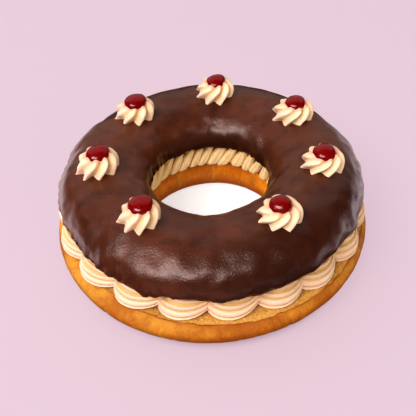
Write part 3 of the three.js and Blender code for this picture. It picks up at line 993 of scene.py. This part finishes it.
class DOUGHNUT_OT_icing(bpy.types.Operator):
    """Pours the chocolate icing, lumpy on top and uneven along its lower edges."""

    bl_idname = "doughnut.icing"
    bl_label = "Icing"

    def execute(self, context):
        dome = settings("dome")
        outside = dome_section(0, dome.lip_height, 30, 8)
        inside = dome_section(dome.icing, dome.lip_height, 10, 4)
        outer_lip = self.lip(outside[0], inside[0])
        inner_lip = self.lip(inside[-1], outside[-1])
        section = outside + inner_lip[::-1] + inside[::-1] + outer_lip[::-1]
        icing = spun_ring("icing", section, 600)
        self.shape(icing, dome)
        dressed(icing, chocolate_finish(), "chocolate", "chocolate_icing")
        return {"FINISHED"}

    def lip(self, start, end):
        """The rounded lower edge between the icing's two skins."""
        middle = ((start[0] + end[0]) / 2, start[1])
        half = abs(start[0] - end[0]) / 2
        return arc(middle, (half, 0.9 * MM), 0, -180, 7)[1:-1]

    def shape(self, icing, dome):
        """Lumps, wrinkles, drips and an uneven lower edge."""
        points = points_of(icing)
        around, reach = polar(points)
        height = points[:, 2]
        offset = reach - dome.crest_radius
        outside = offset > 0
        span, foot = dome_quarter(outside)
        rise = (height - foot) / (dome.crest_height - foot)
        on_dome = np.hypot(offset / span, rise) > 0.965
        on_side = np.abs(offset) > span - dome.icing / 2
        skin = np.where(np.where(height > foot, on_dome, on_side), 1, 0)
        section_turn = np.arctan2(rise, np.abs(offset) / span)
        along = np.where(outside, 1, -1) * (math.pi / 2 - section_turn) * SECTION_RADIUS

        def wrinkles(stretch, size, seed):
            """Noise that is drawn out down the sides."""
            return MM * lumps(wound(around, along * stretch, reach), size, seed)

        steep = smooth(0.85, 0.25, section_turn)
        near_lip = smooth(dome.lip_height + 5.0 * MM, dome.lip_height, height)
        low = smooth(dome.lip_height + 16.0 * MM, dome.lip_height + 4.0 * MM, height)
        at_side = smooth(0.55, 0.85, np.abs(np.cos(around)))
        leftward = smooth(0.2, 0.8, facing(around, 200))
        swell = 1.1 * MM * lumps(points, 0.026, 1)
        swell += 1.00 * MM * lumps(points, 0.014, 3)
        swell += 0.80 * wrinkles(0.6, 0.011, 52) * np.where(outside, 0, 1)
        swell += 1.30 * wrinkles(0.4, 0.018, 41) * steep
        swell += 0.62 * wrinkles(0.8, 0.0085, 4) * (0.6 + 0.4 * steep)
        swell += 0.24 * wrinkles(0.7, 0.0046, 9) * steep
        swell += 0.40 * wrinkles(0.5, 0.0032, 15) * near_lip
        swell += 0.55 * wrinkles(0.22, 0.0040, 23) * low * at_side
        swell += 1.50 * wrinkles(0.3, 0.0040, 61) * low * leftward
        swell *= 1 - 0.45 * np.where(outside, smooth(0.45, 0.9, np.sin(around)), 0)
        swell *= skin

        start = np.where(outside, 0, INNER_LIP_START)
        lip_move = wave_sum(LIP_WAVES, around + start)
        lip_move += 0.9 * MM * lumps(wound(around, start), 0.006, 21)
        lip_move += (0.7 + 0.7 * leftward) * MM * lumps(wound(around, start), 0.003, 27)
        for degrees, width, drop in LIP_DRIPS:
            across = angle_gap(around, degrees) * dome.outer_radius
            drip = np.where(outside, bell(across, width), 0)
            lip_move -= drop * drip
            swell += 0.5 * MM * drip * near_lip * skin
        weight = smooth(foot + 1.0 * MM, dome.lip_height, height)

        moved = points + normals_of(icing) * swell[:, None]
        moved[:, 2] += lip_move * weight
        move_to(icing, as_baked(moved))
        # Painted shade on the icing: low on the wall of the hole, and on the outer side towards the front
        # right, away from the key light
        low_inside = smooth(dome.lip_height + 20 * MM, dome.lip_height + 7 * MM, height)
        to_front_right = 0.9 * smooth(0.55, 0.95, facing(around, -48))
        mark(icing, "icing_shade", np.where(outside, to_front_right * smooth(0.0, 0.010, offset), low_inside))
        # Painted light: lighter, warmer icing on the left and right sides, but not low in the hole
        to_left = smooth(0.7, 1.0, facing(around, 178))
        to_right = 0.8 * smooth(0.6, 1.0, facing(around, 20))
        mark(icing, "icing_light", np.maximum(to_left, to_right) * (1 - low_inside))


class DOUGHNUT_OT_crumbs(bpy.types.Operator):
    """Scatters loose crumbs over the cut face, round the swirls."""

    bl_idname = "doughnut.crumbs"
    bl_label = "Crumbs"

    def execute(self, context):
        bun = settings("bun")
        crumbs = add(bpy.ops.mesh.primitive_ico_sphere_add, subdivisions=1, radius=1)
        crumbs.name = crumbs.data.name = "crumbs"
        grain = points_of(crumbs)
        faces = np.array([face.vertices[:] for face in crumbs.data.polygons])
        chance = np.random.default_rng(8)
        count = bun.crumbs
        around = chance.uniform(0, TURN, count)
        reach = chance.uniform(CRUMBS_FROM, bun.rim_radius, count)
        size = chance.uniform(0.22, 0.62, (count, 1)) * MM * chance.uniform(0.6, 1.3, (count, 3))
        reach += bun.side_spread * np.cos(2 * around)
        drop = side_fall(reach - 0.5 * MM, 0.9)
        middle = as_baked(from_polar(around, reach, bun.cut_height - drop))
        points = (grain[None] * size[:, None] + middle[:, None]).reshape(-1, 3)
        corners = (faces[None] + len(grain) * np.arange(count)[:, None, None]).reshape(-1, 3)
        crumbs.data.clear_geometry()
        crumbs.data.from_pydata(points.tolist(), [], corners.tolist())
        mark(crumbs, "crumb", np.ones(len(points)))
        close_up(crumbs)
        dressed(crumbs, bpy.data.materials["baked_dough"], "dough", "dough_base")
        return {"FINISHED"}


def laid_on_ring(rope, middle_angle, path, length_of_rope):
    """Lays a straight rope along a curve that is given along the ring, from its axis and above the cut."""
    points = points_of(rope)
    t = np.clip(points[:, 2] / length_of_rope, 0, 1)[:, None]
    a, b, c, d = (np.array(point) for point in path)
    centre = a * (1 - t) ** 3 + 3 * b * t * (1 - t) ** 2 + 3 * c * t * t * (1 - t) + d * t ** 3
    tangent = 3 * (b - a) * (1 - t) ** 2 + 6 * (c - b) * t * (1 - t) + 3 * (d - c) * t * t
    tangent /= np.linalg.norm(tangent, axis=1)[:, None]
    outward = np.column_stack([-tangent[:, 1], tangent[:, 0], 0 * tangent[:, 0]])
    outward /= np.linalg.norm(outward, axis=1)[:, None]
    upward = np.cross(tangent, outward)
    tall = np.where(points[:, 1:2] > 0, SWIRL_CROWN, SWIRL_FOOT) * points[:, 1:2]
    placed = centre + outward * points[:, 0:1] + upward * tall
    around = middle_angle + placed[:, 0] / SWIRL_RING
    return around, placed[:, 1], placed[:, 2]


class DOUGHNUT_OT_swirls(bpy.types.Operator):
    """Pipes the swirls of cream round the outside of the filling."""

    bl_idname = "doughnut.swirls"
    bl_label = "Cream swirls"

    def execute(self, context):
        cream = settings("cream")
        crests = [math.sin(math.pi * step / RIDGE_STEPS) ** 0.8 for step in range(RIDGE_STEPS)]
        outline = [1 - cream.ridge_depth * (1 - crest) for crest in crests]
        heights = np.linspace(0, cream.swirl_length, len(SWIRL_THICKNESS))
        stations = list(zip(heights, SWIRL_THICKNESS))
        model = star_rope("swirl", cream.ridges, outline, cream.swirl_radius, stations)
        chance = random.Random(5)
        pieces = [self.core()]
        pieces += [self.piped(model, number, chance) for number in range(cream.swirls)]
        bpy.data.objects.remove(model)
        swirls = joined("swirls", pieces)
        close_up(swirls)
        dressed(swirls, cream_finish(), "cream", "cream_filling")
        return {"FINISHED"}

    def piped(self, model, number, chance):
        """One swirl, laid on the ring beside the last and pressed down on the cut."""
        cream, bun = settings("cream"), settings("bun")
        swirl = copy_of(model, f"swirl_{number}")
        middle = cream.first_gap + (number + 0.5) * TURN / cream.swirls + chance.uniform(-0.012, 0.012)
        around, reach, height = laid_on_ring(swirl, middle, SWIRL_LINE, cream.swirl_length)
        reach = reach + cream.spread * np.cos(2 * around) + chance.uniform(-0.5, 0.5) * MM
        reach += cream.reach - cream.offset * facing(around, OFF_MIDDLE)
        lowest = -0.4 * MM - side_fall(reach, 0.95)
        height = np.maximum(height * chance.uniform(0.97, 1.03), lowest)
        # Painted shade: the upper part under the icing's lip and the faces turned down are marked as shaded
        beneath = smooth(0.0, -0.7, normals_of(swirl)[:, 1])
        shaded = 0.45 * smooth(6 * MM, 15 * MM, height) + 0.40 * beneath
        mark(swirl, "groove", np.clip(marked(swirl, "groove") + shaded, 0, 1))
        points = from_polar(around, reach, bun.cut_height + height)
        points += 0.25 * MM * lumps(points, 0.009, number)[:, None] * np.array((0.6, 0.6, 0.3))
        move_to(swirl, as_baked(points))
        return swirl

    def core(self):
        """Cream behind the swirls, which fills the ring between the two halves."""
        cream, bun = settings("cream"), settings("bun")
        low, high = bun.cut_height + 0.1 * MM, bun.cut_height + cream.height + 0.2 * MM
        bulge = arc((CORE_FOOT[1], (low + high) / 2), (CORE_BULGE, (high - low) / 2), -90, 90, 7)
        section = line((CORE_FOOT[0], low), (CORE_FOOT[1], low), 3) + bulge
        section += line((CORE_TOP[0], high), (CORE_TOP[1], high), 3)
        core = spun_ring("core", section, 152)
        move_to(core, as_baked(points_of(core)))
        # Painted shade: the whole core, seen only in the notches between swirls, is marked as fully shaded
        mark(core, "groove", np.ones(len(core.data.vertices)))
        return core


class DOUGHNUT_OT_fingers(bpy.types.Operator):
    """Pipes the leaning fingers of cream round the hole."""

    bl_idname = "doughnut.fingers"
    bl_label = "Cream fingers"

    def execute(self, context):
        model = star_rope("finger", FINGER_RIDGES, FINGER_OUTLINE, 1.0, FINGER_STATIONS)
        chance = random.Random(12)
        pieces = [self.piped(model, number, chance) for number in range(settings("cream").fingers)]
        bpy.data.objects.remove(model)
        fingers = joined("fingers", pieces)
        close_up(fingers)
        dressed(fingers, bpy.data.materials["piped_cream"], "cream", "cream_filling")
        return {"FINISHED"}

    def piped(self, model, number, chance):
        """One finger, leaning on the wall of cream beside the last."""
        cream, bun = settings("cream"), settings("bun")
        finger = copy_of(model, f"finger_{number}")
        points = points_of(finger)
        x, y, along = points.T
        width = cream.finger_width * chance.uniform(0.78, 1.12)
        depth = cream.finger_width * chance.uniform(0.62, 0.80)
        set_back = chance.uniform(-0.4, 1.5) * MM
        foot = chance.uniform(-2.2, 0.4) * MM
        height = foot + along * (cream.height + 0.5 * MM - foot)
        rise = height / cream.height
        middle = TURN * (number + chance.uniform(-0.16, 0.16)) / cream.fingers
        upright = smooth(2.1, 2.8, abs(middle - 0.3))
        lean = cream.finger_lean * (1 - 0.8 * upright) * (rise - 0.5) * chance.uniform(0.75, 1.25)
        drawn_in = (cream.finger_top - cream.finger_foot) * np.clip(rise, 0, 1) ** 0.8
        reach = cream.finger_foot + drawn_in + set_back + depth * 0.75
        reach = reach - y * depth * np.where(y > 0, 1.0, 0.6)
        around = middle + lean + x * width / FINGER_RING
        # Painted shade on the finger's sides, towards its top under the icing's lip, and all over its back
        aside = np.abs(x) / np.maximum(np.hypot(x, y), 1e-6)
        shaded = np.maximum(0.8 * smooth(0.6, 1.0, aside), 0.4 * smooth(0.6, 1.0, rise))
        shaded = np.maximum(shaded, marked(finger, "groove"))
        mark(finger, "groove", np.where(y < 0, 1, shaded))
        # A yellower tint over all the fingers round the hole
        mark(finger, "hole_tint", np.ones(len(points)))
        placed = from_polar(around, reach, bun.cut_height + height + 0.2 * MM)
        move_to(finger, as_baked(placed))
        return finger


def standing_place(degrees, distance):
    """The point on the icing at an angle round the ring and a distance from its axis."""
    x, y = distance * math.cos(math.radians(degrees)), distance * math.sin(math.radians(degrees))
    return np.array((x, y, icing_top(np.array([x]), np.array([y]))[0]))


class DOUGHNUT_OT_rosettes(bpy.types.Operator):
    """Pipes the rosettes of cream on the icing."""

    bl_idname = "doughnut.rosettes"
    bl_label = "Rosettes"

    def execute(self, context):
        topping = settings("topping")
        places = [2 * step / PETAL_STEPS - 1 for step in range(PETAL_STEPS)]
        crests = [max(0, 1 - math.hypot(place, 0.18)) ** 1.35 for place in places]
        outline = [1 - topping.petal_depth * (1 - 0.86 * crest / max(crests)) for crest in crests]
        heights, radii, twists = zip(*ROSETTE_STATIONS)
        model = star_rope("rosette", topping.petals, outline, 1, list(zip(heights, radii)))
        groove = marked(model, "groove")
        rise = points_of(model)[:, 2]
        twisted = np.interp(rise, heights, twists)
        across = polar(points_of(model))[0] * topping.petals / TURN % 1
        # Painted shade: the flank that the petals twist towards and its groove are darker, as if overhung
        shaded = np.where(across > 0.5, smooth(0.5, 0.85, across), smooth(0.36, 0.0, across))
        shaded *= 0.75 * smooth(0.02, 0.2, rise)
        for number, (degrees, distance, size, height, turn, twist, lean) in enumerate(ROSETTES, 1):
            rosette = copy_of(model, f"rosette_{number}_cream")
            foot = standing_place(degrees, distance)
            around, reach = polar(points_of(rosette))
            around = around + np.radians(turn - 180 / topping.petals + twist * twisted)
            reach *= size * (1 + topping.splay * (1 - groove) * bell(rise * height, 1.6 * MM))
            leftward = smooth(0.3, -0.8, np.cos(around))
            reach *= 1 + 0.20 * groove * leftward * smooth(0.08, 0.4, rise)
            # Painted shade on the rosettes, half as strong on their left side, which faces the key light
            mark(rosette, "groove", 0.40 + 0.60 * shaded * (1 - 0.5 * leftward))
            reach *= 1 + topping.trail * (1 - rise) * np.clip(np.cos(around - topping.trail_angle), 0, 1)
            points = from_polar(around, reach, rise * height)
            points[:, 0] += lean * rise ** 2 + topping.belly * np.sin(math.pi * rise)
            points += 0.35 * MM * lumps(points, 0.010, number)[:, None] * np.array((1, 1, 0.4))
            below = icing_top(foot[0] + points[:, 0], foot[1] + points[:, 1]) - foot[2]
            points[:, 2] += (below - 0.5 * MM) * smooth(0.55, 0.1, rise)
            move_to(rosette, points + foot)
            cherry_size, cherry_half, cherry_middle, _ = CHERRIES[number - 1]
            from_cherry = points - np.array((lean, 0, cherry_middle))
            from_cherry /= np.array((cherry_size, cherry_size, cherry_half))
            mark(rosette, "syrup", smooth(1.30, 1.05, np.linalg.norm(from_cherry, axis=1)))
            dressed(rosette, bpy.data.materials["piped_cream"], "cream", f"rosette_{number}")
        bpy.data.objects.remove(model)
        return {"FINISHED"}


class DOUGHNUT_OT_cherries(bpy.types.Operator):
    """Sets a glazed cherry on each rosette."""

    bl_idname = "doughnut.cherries"
    bl_label = "Cherries"

    def execute(self, context):
        finish = cherry_finish()
        for number, (size, half, middle, pull) in enumerate(CHERRIES, 1):
            degrees, distance, *_, lean = ROSETTES[number - 1]
            cherry = add(bpy.ops.mesh.primitive_uv_sphere_add, segments=56, ring_count=32, radius=1)
            cherry.name = cherry.data.name = f"cherry_{number}_glazed"
            points = points_of(cherry)
            apart = np.linalg.norm(points - np.array(CHERRY_PEAK), axis=1)
            grown = 1 + 0.05 * lumps(points, 0.9, number * 3.7) + pull * bell(apart, 0.5)
            edge = smooth(0.10, -0.40, points[:, 2])
            points *= grown[:, None]
            points *= np.array((size, size, half))
            move_to(cherry, points + standing_place(degrees, distance) + np.array((lean, 0, middle)))
            mark(cherry, "edge", edge)
            close_up(cherry)
            dressed(cherry, finish, "cherry", f"cherry_{number}")
        return {"FINISHED"}


class DOUGHNUT_OT_stage(bpy.types.Operator):
    """Sets up the table, the soft light and the camera."""

    bl_idname = "doughnut.stage"
    bl_label = "Stage"

    def execute(self, context):
        stage = settings("stage")
        floor = add(bpy.ops.mesh.primitive_plane_add, size=stage.floor_size)
        floor.name = floor.data.name = "table"
        floor.data.materials.append(floor_finish())
        floor.visible_glossy = False
        self.backdrop(stage, floor)
        for box in SOFT_BOXES:
            self.soft_box(*box)
        for card in TABLE_CARDS:
            self.table_card(*card)
        self.surroundings(stage)
        self.camera(stage)
        return {"FINISHED"}

    def backdrop(self, stage, floor):
        """A plain round wall far behind the table, which only the camera sees."""
        high = stage.floor_size / 2
        wall = add(bpy.ops.mesh.primitive_cylinder_add, vertices=96, radius=0.96 * high, depth=high,
                   end_fill_type="NOTHING", location=(0, 0, high / 2))
        wall.name = wall.data.name = "backdrop"
        wall.data.materials.append(floor.data.materials[0])
        wall.visible_glossy = wall.visible_diffuse = wall.visible_shadow = False

    def area_lamp(self, name, width, height, power, tint):
        """A rectangular light that the camera doesn't see."""
        lamp = add(bpy.ops.object.light_add, type="AREA")
        lamp.name = lamp.data.name = name
        lamp.data.shape = "RECTANGLE"
        lamp.data.size, lamp.data.size_y = width, height
        lamp.data.energy = power
        lamp.data.color = tint
        lamp.visible_camera = False
        return lamp

    def soft_box(self, name, azimuth, elevation, distance, width, height, power, tint, gloss, matt):
        """A soft light that looks at the doughnut."""
        a, e = math.radians(azimuth), math.radians(elevation)
        away = Vector((math.sin(a) * math.cos(e), -math.cos(a) * math.cos(e), math.sin(e)))
        lamp = self.area_lamp(f"soft_box_{name}", width, height, power, tint)
        lamp.visible_glossy = gloss
        lamp.visible_diffuse = matt
        lamp.location = away * distance + Vector((0, 0, 0.04))
        lamp.rotation_euler = away.to_track_quat("Z", "Y").to_euler()

    def table_card(self, name, x, y, width, depth, power):
        """A pale card that lies on the table and shows in gloss alone."""
        lamp = self.area_lamp(f"table_card_{name}", width, depth, power, settings("colours").table_card)
        lamp.visible_diffuse = False
        lamp.location = (x, y, 2 * MM)
        lamp.rotation_euler = (math.pi, 0, 0)

    def surroundings(self, stage):
        """Pale light from all round."""
        world = bpy.data.worlds.new("studio")
        bpy.context.scene.world = world
        world.use_nodes = True
        background = world.node_tree.nodes["Background"]
        background.inputs["Color"].default_value = (*settings("colours").surroundings, 1)
        background.inputs["Strength"].default_value = stage.ambient
        world.cycles_visibility.glossy = False

    def camera(self, stage):
        """The camera, which looks down at the doughnut from the front."""
        rise, roll = stage.elevation, stage.roll
        back = Vector((0, -math.cos(rise), math.sin(rise)))
        level, up = Vector((1, 0, 0)), Vector((0, math.sin(rise), math.cos(rise)))
        right = math.cos(roll) * level + math.sin(roll) * up
        top = math.cos(roll) * up - math.sin(roll) * level
        place = Matrix.Translation(Vector((0, 0, stage.target_height)) + back * stage.distance)
        lens = bpy.data.cameras.new("camera")
        camera = bpy.data.objects.new("camera", lens)
        bpy.context.scene.collection.objects.link(camera)
        camera.matrix_world = place @ Matrix((right, top, back)).transposed().to_4x4()
        lens.lens = stage.lens
        lens.sensor_width = 36
        lens.shift_x, lens.shift_y = stage.shift_x, stage.shift_y
        lens.clip_start, lens.clip_end = 0.01, 20
        lens.dof.use_dof = False
        bpy.context.scene.camera = camera
        bpy.context.scene.view_settings.view_transform = "Standard"
        bpy.context.scene.view_settings.gamma = 0.85


OPERATORS = (
    DOUGHNUT_OT_base,
    DOUGHNUT_OT_lid,
    DOUGHNUT_OT_icing,
    DOUGHNUT_OT_crumbs,
    DOUGHNUT_OT_swirls,
    DOUGHNUT_OT_fingers,
    DOUGHNUT_OT_rosettes,
    DOUGHNUT_OT_cherries,
    DOUGHNUT_OT_stage,
)


class DOUGHNUT_PT_panel(bpy.types.Panel):
    """Sidebar panel with the doughnut's sizes and its pieces."""

    bl_idname = "DOUGHNUT_PT_panel"
    bl_label = "Filled ring doughnut"
    bl_space_type = "VIEW_3D"
    bl_region_type = "UI"
    bl_category = "Doughnut"

    def draw(self, context):
        for group in GROUPS:
            box = self.layout.box()
            held = settings(group)
            box.label(text=group.capitalize())
            for name in held.bl_rna.properties.keys():
                if name not in {"rna_type", "name"}:
                    box.prop(held, name)
        for operator in OPERATORS:
            self.layout.operator(operator.bl_idname)


CLASSES = (*GROUPS.values(), *OPERATORS, DOUGHNUT_PT_panel)


def register():
    for cls in CLASSES:
        bpy.utils.register_class(cls)
    for group, cls in GROUPS.items():
        setattr(bpy.types.Scene, f"doughnut_{group}", PointerProperty(type=cls))


def unregister():
    for group in GROUPS:
        delattr(bpy.types.Scene, f"doughnut_{group}")
    for cls in reversed(CLASSES):
        bpy.utils.unregister_class(cls)


def main():
    register()
    for operator in OPERATORS:
        group, name = operator.bl_idname.split(".")
        getattr(getattr(bpy.ops, group), name)()


if __name__ == "__main__":
    main()
